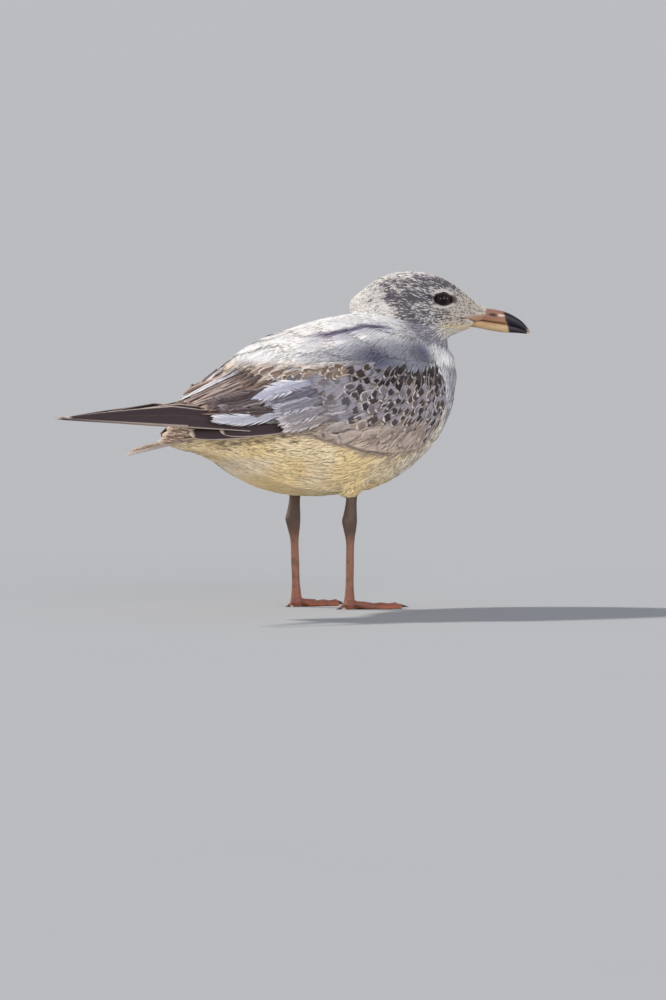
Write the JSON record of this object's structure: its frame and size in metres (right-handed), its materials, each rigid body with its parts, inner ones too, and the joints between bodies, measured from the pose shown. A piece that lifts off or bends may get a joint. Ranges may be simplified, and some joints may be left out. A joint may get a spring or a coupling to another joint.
{
  "type": "ring-billed gull",
  "caption": "Life-size still model of a young ring-billed gull, standing with its wings folded and its head turned to its right.",
  "frame": {"origin": "on the floor under the middle of the whole bird's box", "axes": "the breast faces -Y, the tail +Y, the bird's left side +X, up +Z"},
  "size_m": [0.1316, 0.432, 0.2576],
  "materials": {
    "head_feathers": "matt",
    "body_feathers": "matt",
    "wing_coverts": "matt",
    "tertial_feathers": "matt",
    "primary_feathers": "satin",
    "tail_feathers": "matt",
    "bill_horn": "satin",
    "eye": "glossy",
    "leg_skin": "satin",
    "foot_skin": "satin",
    "claw": "satin"
  },
  "bodies": {
    "root": {"head": "head_feathers", "neck": "body_feathers", "trunk": "body_feathers", "rump": "body_feathers", "wing_left": "wing_coverts", "wing_right": "wing_coverts", "tertials_left": "tertial_feathers", "tertials_right": "tertial_feathers", "primaries_left": "primary_feathers", "primaries_right": "primary_feathers", "tail": "tail_feathers", "bill_upper": "bill_horn", "bill_lower": "bill_horn", "eye_left": "eye", "eye_right": "eye", "tibia_left": "leg_skin", "tibia_right": "leg_skin", "tarsus_left": "leg_skin", "tarsus_right": "leg_skin", "foot_left": "foot_skin", "foot_right": "foot_skin", "claw_left_inner": "claw", "claw_left_middle": "claw", "claw_left_outer": "claw", "claw_left_hind": "claw", "claw_right_inner": "claw", "claw_right_middle": "claw", "claw_right_outer": "claw", "claw_right_hind": "claw"}
  },
  "joints": []
}
